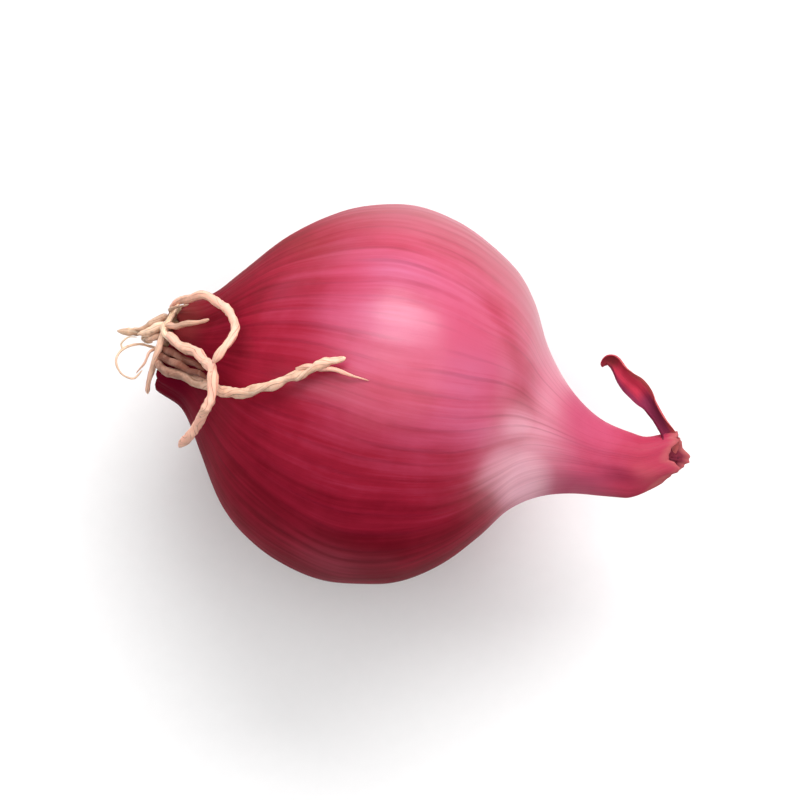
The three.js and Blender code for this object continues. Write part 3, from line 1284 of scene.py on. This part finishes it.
@dataclass
class RootThreads:
    """The twelve dead roots, each its own piece, with the fine rootlets that branch from it.

    Attributes:
        place: Where the onion lies.
        step: Length of one segment.
        sides: Points round a root.
        held: How far a root's start is carried back into the plate.
        crook: How far a root strays from its route.
        furrow: Depth of its furrows, as a share of its radius.
        roots: The twelve roots, with their branches.
    """

    place: Placement
    step: float = 0.11
    sides: int = 16
    held: float = 0.75
    crook: float = 0.045
    furrow: float = 0.10
    roots: tuple[Thread, ...] = (
        # Over the shoulder and along the cheek. Its brown start, and the brown strands under it, are partly
        # painted shade under the root that crosses over them.
        Thread(0.86, ((0.15, -1.5, 2.6), (0.15, -1.7, 3.0), (1.1, -1.95, 4.4), (2.7, -2.05, 5.9),
                      (4.4, -2.3, 7.7), (6.4, -2.3, 10.4), (8.7, -1.2, 12.5), (10.9, 0.3, 13.9),
                      (12.4, 1.35, 14.4), (13.6, 2.15, 14.5)),
               taper=0.75, age_and_shade=0.8, rosy_and_bounce=0.5, start=0.75, clears=0.85, branches=(
            Thread(0.46, ((10.4, 0.35, 13.7), (11.0, 0.75, 13.95), (12.6, 0.95, 14.35), (14.2, 0.95, 14.55),
                          (15.6, 0.8, 14.6)), taper=0.25, age_and_shade=0.1, rosy_and_bounce=1.0),
            Thread(0.62, ((-0.1, -0.95, 2.4), (0.2, -1.0, 3.0), (1.2, -1.25, 4.6), (2.5, -1.45, 6.2),
                          (3.9, -1.8, 8.2)), taper=0.7, age_and_shade=1.3, rosy_and_bounce=0.6),
            Thread(0.58, ((-0.1, -0.35, 2.3), (0.2, -0.4, 2.9), (1.2, -0.65, 4.4), (2.4, -0.85, 6.0),
                          (3.7, -1.2, 7.8)), taper=0.7, age_and_shade=1.5, rosy_and_bounce=0.6),
        )),
        # A loop that stands above the shoulder.
        Thread(0.7, ((0.15, 2.3, 1.7), (0.1, 2.7, 2.0), (0.5, 3.3, 3.0), (1.5, 3.95, 4.4), (2.9, 4.0, 5.9),
                     (4.2, 3.5, 7.6), (5.1, 2.5, 9.2), (5.1, 1.3, 10.3), (4.65, 0.3, 10.7),
                     (4.2, -0.55, 10.6)), taper=0.9, rosy_and_bounce=0.9, start=0.75, branches=(
            Thread(0.34, ((-0.1, 2.0, 1.2), (0.0, 2.4, 1.9), (0.0, 2.6, 3.0), (0.6, 2.9, 4.1),
                          (1.3, 3.3, 4.8)), taper=0.4, age_and_shade=0.8),
        )),
        # Over the first root and down off the side.
        Thread(0.8, ((0.15, 0.5, 2.8), (0.15, 0.6, 3.3), (1.1, 0.25, 4.8), (2.4, -0.1, 6.4),
                     (3.6, -0.5, 8.3), (4.4, -1.3, 9.9), (4.65, -2.6, 10.3), (4.5, -4.1, 9.8),
                     (3.95, -5.6, 8.2), (3.15, -7.2, 6.2)), taper=0.9, rosy_and_bounce=0.9, start=0.8, branches=(
            Thread(0.46, ((-0.2, 1.3, 2.0), (-0.35, 1.2, 2.6), (0.0, 0.75, 3.4), (0.8, 0.35, 4.1),
                          (1.8, 0.05, 5.3), (2.8, -0.3, 6.4)), taper=0.4, age_and_shade=0.1, rosy_and_bounce=0.1),
            Thread(0.46, ((-0.3, 0.9, 2.0), (-0.1, 1.3, 2.7), (0.1, 2.0, 2.9), (0.25, 2.7, 2.9),
                          (0.5, 3.2, 2.9)), taper=0.6),
        )),
        # Away from the plate, to the root side.
        Thread(0.76, ((-0.6, 1.0, 0.5), (-1.0, 0.95, 0.75), (-1.7, 0.6, 0.7), (-2.8, 0.25, 0.3),
                      (-3.8, 0.1, -0.2)), taper=0.65, age_and_shade=0.3, branches=(
            Thread(0.6, ((-0.2, 1.9, 1.2), (-0.5, 1.9, 1.4), (-1.0, 1.4, 1.5), (-1.7, 0.85, 1.2),
                         (-2.5, 0.5, 0.7)), taper=0.45, age_and_shade=0.45, rosy_and_bounce=0.2),
            Thread(0.7, ((-0.2, 1.25, 1.6), (-0.6, 1.2, 1.9), (-1.1, 0.75, 1.9), (-1.7, 0.35, 1.5),
                         (-2.2, 0.1, 1.0)), rosy_and_bounce=0.3),
            Thread(0.6, ((-0.2, 0.5, 1.5), (-0.6, 0.4, 1.7), (-1.0, 0.15, 1.6), (-1.5, -0.1, 1.2)),
                   age_and_shade=0.2, rosy_and_bounce=0.5),
        )),
        # A thin loop beside the plate.
        Thread(0.2, ((-0.6, -0.5, -0.4), (-1.0, -0.45, -0.4), (-1.9, -0.45, -0.2), (-2.9, -1.1, 0.0),
                     (-3.2, -2.1, 0.3), (-2.7, -3.0, 0.3), (-1.7, -3.1, 0.1), (-1.15, -2.3, 0.0)),
               taper=0.7, rosy_and_bounce=0.2, branches=(
            Thread(0.16, ((-2.95, -1.2, 0.03), (-3.2, -0.8, 0.2), (-2.8, -0.2, 0.4), (-2.1, -0.1, 0.5))),
        )),
        # A short stub that points up the shoulder.
        Thread(0.5, ((0.15, 1.2, 2.5), (0.1, 1.35, 2.9), (0.7, 1.5, 4.0), (1.7, 1.85, 5.1),
                     (3.0, 2.5, 6.2)), taper=0.7, age_and_shade=0.4, rosy_and_bounce=0.6),
        # Down past the plate.
        Thread(0.54, ((0.1, 1.3, 2.1), (-0.05, 1.1, 2.7), (-0.1, 0.5, 3.1), (-0.2, -0.4, 3.0),
                      (-0.35, -1.2, 2.6), (-0.42, -2.5, 1.7), (-0.4, -4.0, 0.5)),
               taper=0.7, rosy_and_bounce=0.6, branches=(
            Thread(0.22, ((-0.5, -0.5, 1.6), (-0.9, -0.9, 1.9), (-1.1, -1.9, 1.8), (-1.5, -2.7, 1.2)),
                   taper=0.4, age_and_shade=0.2, rosy_and_bounce=0.6),
        )),
        # Five shorter roots curl under the bulb.
        Thread(0.68, ((0.15, -0.5, -2.9), (0.1, -0.6, -3.3), (0.8, -1.0, -5.0), (2.4, -1.0, -6.7),
                      (4.2, -0.2, -8.9), (5.6, 0.4, -10.9)), taper=0.4, age_and_shade=0.3),
        Thread(0.62, ((0.15, 0.8, -2.8), (0.1, 0.9, -3.2), (0.6, 1.5, -4.8), (1.7, 1.9, -6.2),
                      (2.9, 2.4, -7.5), (3.3, 2.7, -8.9)), taper=0.4, age_and_shade=0.1, rosy_and_bounce=0.5),
        Thread(0.55, ((0.15, -1.7, -2.4), (0.1, -2.0, -2.7), (0.6, -2.9, -3.9), (1.9, -3.6, -5.2),
                      (3.3, -4.0, -6.4)), taper=0.4, age_and_shade=0.5),
        Thread(0.55, ((0.15, 2.1, -2.1), (0.1, 2.4, -2.3), (0.6, 3.0, -3.4), (1.9, 3.3, -5.1)),
               taper=0.45, age_and_shade=0.1, rosy_and_bounce=0.6),
        Thread(0.6, ((-0.6, 0.4, -0.9), (-0.9, 0.4, -1.0), (-1.6, 0.2, -1.8), (-1.8, 0.0, -3.0),
                     (-1.2, -0.1, -4.2)), age_and_shade=0.4),
    )

    def build(self, finish: bpy.types.Material) -> list[bpy.types.Object]:
        """Makes each root with its branches.

        Args:
            finish: The roots' material.

        Returns:
            The pieces.
        """
        pieces = []
        for number, root in enumerate(self.roots):
            shells = [self.shell(root, 100 + number, True)]
            for k, branch in enumerate(root.branches):
                shells.append(self.shell(branch, 200 + 10 * number + k, False))
            piece = build_piece(f"root_thread_{number + 1:02d}", shells, self.place)
            dress(piece, finish, f"root_{number + 1:02d}")
            pieces.append(piece)
        return pieces

    def shell(self, thread: Thread, seed: int, rooted: bool) -> Shell:
        """The surface of one thread.

        Each ring is a circle square to the route, cut by furrows that wind slowly round. The middle of the
        rings strays a little from the route once it is clear of its start.

        Args:
            thread: The thread.
            seed: Picks its knots, furrows and straying.
            rooted: Whether its start is carried back into the plate.

        Returns:
            The surface.
        """
        route = np.array(thread.route)
        if rooted:
            route[0] -= unit(route[1] - route[0]) * self.held
        count = int(way_length(route) / self.step)
        line = curve_through(route, count)
        share = np.linspace(0.0, 1.0, count)[:, None]
        way = share * way_length(line)
        stray = np.stack([Ripples(3.4, seed + k).at(way) for k in (0, 30, 60)], axis=-1)
        line = line + self.crook * smooth_step(way, 0.5, 2.0) * stray

        angle = ring_angles(self.sides)
        wind = angle + 0.5 * Ripples(4.0, seed + 9).at(way)[:, None]
        radius = self.radius(thread, share, way, seed)
        radius = radius * (1.0 - self.furrow * (1.0 - np.abs(np.sin(1.5 * wind))))
        radius = radius * (1.0 + 0.05 * np.cos(4.0 * wind + 3.0 * share))
        first, second = (direction[:, None] for direction in self.square_to(line))
        circle = np.cos(angle)[:, None] * first + np.sin(angle)[:, None] * second
        rings = line[:, None] + radius[..., None] * circle

        along, ahead = np.broadcast_to(share, wind.shape), np.broadcast_to(way, wind.shape)
        strand = np.concatenate([0.6 * on_circle(wind), ahead[..., None]], axis=-1)
        # The brown near the start is partly painted shade.
        old_and_shaded = thread.age_and_shade * (1.0 - thread.clears * smooth_step(along, 0.15, 0.42))
        kind = np.stack([along, old_and_shaded, np.full(along.shape, thread.rosy_and_bounce)], axis=-1)
        return Shell.of_rings(rings, line[0], line[-1], {"strand": strand, "way": kind})

    @staticmethod
    def radius(thread: Thread, share: Array, way: Array, seed: int) -> Array:
        """The radius of a thread before it is furrowed.

        Args:
            thread: The thread.
            share: The share of its length at each ring.
            way: The same, in millimetres.
            seed: Picks its knots.

        Returns:
            Half its thickness in each ring, slimmer toward its start and its far end, uneven with slow
            knots, and falling to a blunt point with the root of what is left of its length.
        """
        slim = 1.0 - (1.0 - thread.taper) * smooth_step(share, 0.3, 1.0)
        slim = slim - (1.0 - thread.start) * smooth_step(share, 0.35, 0.0)
        slow, quick = Ripples(2.2, seed + 7).at(way), Ripples(0.7, seed + 8).at(way)
        knots = (1.0 + 0.07 * slow + 0.03 * quick)[:, None]
        blunt = np.sqrt(np.clip((1.0 - share) * way[-1] / (0.9 * thread.thickness), 0.0, 1.0))
        return 0.5 * thread.thickness * slim * knots * np.maximum(blunt, 0.06)

    @staticmethod
    def square_to(line: Array) -> tuple[Array, Array]:
        """Two directions square to a line and to each other at each of its points.

        The first is what the line's flattest direction leaves once its part along the line is taken off.
        The flattest direction is the one that the line's headings have the least of, so they never meet it.

        Args:
            line: Points along the line.

        Returns:
            The first and the second direction at each point.
        """
        heading = unit(np.gradient(line, axis=0))
        _, directions = np.linalg.eigh(heading.T @ heading)
        flattest = directions[:, 0]
        first = unit(flattest - (heading @ flattest)[:, None] * heading)
        return first, np.cross(heading, first)


@dataclass
class LeafCurl:
    """The hooked tip of the dead leaf, a strip with rolled edges that leaves the end of the neck.

    Attributes:
        place: Where the onion lies.
        around: Points in each ring.
        rows: Rings along the strip.
        thick: The strip's thickness.
        route: The points that its middle runs through.
        rolls: At shares of its length: its width, and the half angle that it is rolled through, in radians.
    """

    place: Placement
    around: int = 48
    rows: int = 150
    thick: float = 0.16
    route: tuple = (
        (38.3, 0.6, -0.1), (38.55, 1.3, 0.1), (38.3, 2.0, 0.3), (37.6, 2.75, 0.45), (36.9, 3.5, 0.6),
        (36.25, 4.15, 0.75), (35.45, 4.7, 0.9), (34.65, 5.15, 1.0), (33.95, 5.65, 1.0), (33.4, 6.15, 0.9),
        (33.0, 6.45, 0.75), (32.6, 6.5, 0.6), (32.3, 6.2, 0.5), (32.25, 5.95, 0.4),
    )
    rolls: tuple = (
        (0.0, 1.7, 0.5), (0.1, 1.9, 0.8), (0.2, 1.9, 1.9), (0.32, 1.9, 2.3), (0.43, 2.0, 2.0),
        (0.54, 2.05, 1.1), (0.64, 2.0, 0.85), (0.73, 1.9, 1.3), (0.82, 2.1, 2.2), (0.92, 2.2, 2.4),
        (1.0, 1.7, 2.3),
    )

    def rings(self, line: Array, share: Array, angle: Array) -> Array:
        """The rings of the strip.

        Each ring is a thin flat ellipse across the strip, wrapped round a circle: a point's place across
        becomes an angle of that share of the roll, on a circle of half the width over the roll. The open
        side of the roll faces up, and turns a little along the strip.

        Args:
            line: The strip's middle at each ring.
            share: The share of its length at each ring.
            angle: The angle of each point in a ring.

        Returns:
            The rings.
        """
        heading = unit(np.gradient(line, axis=0))
        level = unit(np.cross([0.0, 0.0, 1.0], heading))
        turn = 0.35 * np.sin(7.0 * share + 0.6)
        wide = np.cos(turn) * level + np.sin(turn) * np.cross(heading, level)
        proud = np.cross(heading, wide)
        place, widths, rolls = curve_through(np.array(self.rolls), 200).T
        end = np.sqrt(np.clip((1.0 - share) * 9.0, 0.02, 1.0))
        uneven = 1.0 + 0.03 * Ripples(2.6, 61).at(share * way_length(line))[:, None]
        half = 0.5 * np.interp(share, place, widths) * end * uneven
        roll = np.interp(share, place, rolls)
        ribs = 0.03 * np.cos(9.0 * angle + 2.0) * np.abs(np.sin(angle))
        bulge = 0.5 * self.thick * np.sin(angle) * end + ribs * half
        bent = roll * np.cos(angle)
        flat = half / roll
        painted_side_light = (flat - bulge) * np.sin(bent)
        lift = flat * (1.0 - np.cos(bent)) + bulge * np.cos(bent) - 0.5 * flat
        return line[:, None] + painted_side_light[..., None] * wide[:, None] + lift[..., None] * proud[:, None]

    def marks(self, share: Array, angle: Array) -> dict[str, Array]:
        """What the leaf's finish reads.

        Args:
            share: The share of the strip's length at each ring.
            angle: The angle of each point in a ring.

        Returns:
            strand, a place on a flat tube; and the tints: how plum, partly painted shade, how coral, partly
            painted light, and how maroon a point is.
        """
        along, side, face = np.broadcast_arrays(share, np.cos(angle), np.sin(angle))
        # Painted shade: plum where the strip is rolled and along its far edge.
        rolled_shade = smooth_step(along, 0.60, 0.48) * smooth_step(side, -0.75, -0.35)
        plum_and_shade = np.maximum(rolled_shade, smooth_step(side, 0.35, 0.8))
        # Painted light in part: coral along the near edge.
        coral_and_light = 0.8 * smooth_step(side, -0.4, -0.85) * smooth_step(along, 0.95, 0.8)
        coral_and_light = np.maximum(coral_and_light, smooth_step(along, 0.2, 0.08))
        maroon = smooth_step(along, 0.80, 0.90) * (1.0 - 0.6 * smooth_step(side, -0.3, -0.9))
        strand = np.stack([1.2 * side, 0.6 * face, 12.0 * along], axis=-1)
        return {"strand": strand, "tint": np.stack([plum_and_shade, coral_and_light, maroon], axis=-1)}

    def build(self, finish: bpy.types.Material) -> bpy.types.Object:
        """Makes the leaf.

        Args:
            finish: The leaf's material.

        Returns:
            The piece.
        """
        line = curve_through(np.array(self.route), self.rows)
        share = np.linspace(0.0, 1.0, self.rows)[:, None]
        angle = ring_angles(self.around)
        shell = Shell.of_rings(self.rings(line, share, angle), line[0], line[-1], self.marks(share, angle))
        piece = build_piece("leaf_hook", [shell], self.place)
        dress(piece, finish, "leaf_curl")
        return piece


@dataclass(frozen=True)
class Softbox:
    """An oval soft light that faces the onion.

    Attributes:
        name: Its name.
        stands: Where it stands from the onion: toward the top and the right of the picture, and up.
        distance: How far off, in metres.
        size: Its width and height, in metres.
        power: In watts.
    """

    name: str
    stands: tuple[float, float, float]
    distance: float
    size: tuple[float, float]
    power: float


@dataclass
class Studio:
    """A plain pale floor, soft light from above and one side, and the camera looking straight down.

    Attributes:
        centre: The place that the camera and the lights face.
        turn: How far the top of the picture is turned from the across side, in radians.
        view_width: Width of the picture at the centre, in metres.
        lens: The camera's focal length, in millimetres.
        sensor: Width of its sensor, in millimetres.
        floor_radius: In metres.
        floor_rings: Rings in the floor, each further out than the last by more.
        floor_sides: Points round each.
        glow: How brightly the floor glows at its edge, so that it stays white there in low views.
        glow_from: Where the glow starts, in metres from the onion.
        boxes: The lights.
        surround: Strength of the surround on its dim and on its bright side.
        bright_side: Which side that is: toward the top and the right of the picture.
    """

    centre: Vector
    turn: float = math.radians(13.5)
    view_width: float = 0.060
    lens: float = 200.0
    sensor: float = 36.0
    floor_radius: float = 0.55
    floor_rings: int = 12
    floor_sides: int = 96
    glow: float = 0.5
    glow_from: float = 0.1
    boxes: tuple[Softbox, ...] = (
        Softbox("key_softbox", (0.69, 0.18, 0.67), 0.60, (0.56, 0.28), 2.35),
        Softbox("overhead_softbox", (0.24, 0.06, 1.0), 0.75, (1.5, 1.5), 7.9),
    )
    surround: tuple[float, float] = (0.07, 0.60)
    bright_side: tuple[float, float] = (0.8, 0.5)

    def directions(self) -> tuple[Vector, Vector, Vector]:
        """The directions to the top and the right of the picture, and up."""
        right, above = Vector((math.cos(self.turn), math.sin(self.turn), 0.0)), Vector((0.0, 0.0, 1.0))
        return above.cross(right), right, above

    def build(self) -> None:
        """Makes the camera, the floor, the lights and the surroundings."""
        self.add_camera()
        self.add_floor()
        for box in self.boxes:
            self.add_light(box)
        self.add_surroundings()

    def add_camera(self) -> None:
        """Makes the camera, high enough for the view's width with its long lens."""
        top, right, above = self.directions()
        data = bpy.data.cameras.new("camera")
        data.lens, data.sensor_width = self.lens, self.sensor
        data.clip_start, data.clip_end = 0.01, 10.0
        camera = bpy.data.objects.new("camera", data)
        rotation = Matrix((right, top, above)).transposed().to_4x4()
        distance = self.view_width * self.lens / self.sensor
        camera.matrix_world = Matrix.Translation(self.centre + above * distance) @ rotation
        bpy.context.scene.collection.objects.link(camera)
        bpy.context.scene.camera = camera

    def add_floor(self) -> None:
        """Makes the floor, a wide round sheet of rings whose radii grow with the square of their number."""
        radius = self.floor_radius * np.linspace(0.05, 1.0, self.floor_rings)[:, None, None] ** 2
        flat = (radius * on_circle(ring_angles(self.floor_sides))).reshape(-1, 2)
        points = np.pad(flat, ((0, 1), (0, 1)))
        number = np.arange(len(flat)).reshape(self.floor_rings, self.floor_sides)
        beside = np.roll(number, -1, axis=1)
        quads = np.stack([number[:-1], number[1:], beside[1:], beside[:-1]], axis=-1).reshape(-1, 4)
        middle = np.stack([np.full(self.floor_sides, len(flat)), number[0], beside[0]], axis=-1)
        mesh = bpy.data.meshes.new("floor")
        mesh.from_pydata(points.tolist(), [], quads.tolist() + middle.tolist())
        mesh.materials.append(self.floor_material())
        floor = bpy.data.objects.new("floor", mesh)
        bpy.context.scene.collection.objects.link(floor)
        floor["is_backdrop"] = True

    def floor_material(self) -> bpy.types.Material:
        """The floor's material: nearly white, finely uneven, with its glow away from the onion.

        Returns:
            The material.
        """
        graph = new_material("white_floor")
        grain = graph.noise(graph.place(), 900.0, 3.0)
        colour = graph.blend(grain, (0.90, 0.90, 0.90), (0.93, 0.93, 0.93))
        away = graph.add("VectorMath", {0: graph.place()}, operation="LENGTH").outputs["Value"]
        lit = graph.step(away, self.glow_from, self.floor_radius)
        glow = graph.blend(lit, (0.0, 0.0, 0.0), (self.glow, self.glow, self.glow))
        others = {"Emission Color": glow, "Emission Strength": 1.0}
        return finished(graph, colour, graph.fit(grain, 0.6, 0.75), grain, 0.004, others)

    def add_light(self, box: Softbox) -> None:
        """Adds a light that the camera doesn't see.

        Args:
            box: The light.
        """
        data = bpy.data.lights.new(box.name, "AREA")
        data.shape, data.energy = "ELLIPSE", box.power
        data.size, data.size_y = box.size
        light = bpy.data.objects.new(box.name, data)
        top, right, above = (share * way for share, way in zip(box.stands, self.directions(), strict=True))
        away = (top + right + above).normalized()
        rotation = away.to_track_quat("Z", "Y").to_matrix().to_4x4()
        light.matrix_world = Matrix.Translation(self.centre + away * box.distance) @ rotation
        light.visible_camera = False
        bpy.context.scene.collection.objects.link(light)

    def add_surroundings(self) -> None:
        """Makes the surround: white to look at, and as a light dim on one side and bright on the other."""
        top, right, _ = self.directions()
        bright_side = self.bright_side[0] * top + self.bright_side[1] * right
        world = bpy.data.worlds.new("surroundings")
        bpy.context.scene.world = world
        world.use_nodes = True
        world.node_tree.nodes.clear()
        graph = Graph(world.node_tree)
        heading = graph.add("TexCoord").outputs["Generated"]
        toward = graph.add("VectorMath", {0: heading, 1: tuple(bright_side)}, operation="DOT_PRODUCT")
        strength = graph.fit(toward.outputs["Value"], *self.surround, (-0.8, 0.9))
        lamp = graph.add("Background", {"Color": (1.0, 1.0, 1.0), "Strength": strength})
        sheet = graph.add("Background", {"Color": (1.0, 1.0, 1.0), "Strength": 1.0})
        seen = graph.add("LightPath").outputs["Is Camera Ray"]
        both = graph.add("MixShader", {0: seen, 1: lamp.outputs[0], 2: sheet.outputs[0]})
        output = graph.add("OutputWorld")
        graph.tree.links.new(both.outputs[0], output.inputs[0])
        bpy.context.scene.view_settings.view_transform = "Standard"


def main() -> None:
    """Builds the onion's pieces and the studio."""
    logging.basicConfig(level=logging.INFO)
    cad_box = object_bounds()
    place = Placement.of_bulb()
    effects = SharedEffects()
    BulbSkin(place).build(SkinFinish(effects).build())
    RootPlate(place).build(CorkFinish(effects).build())
    RootThreads(place).build(RootFinish(effects).build())
    LeafCurl(place).build(LeafFinish(effects).build())
    middle = (cad_box[0].x + cad_box[1].x) / 2.0
    Studio(Vector((middle, 0.0, place.height * MM))).build()


if __name__ == "__main__":
    main()
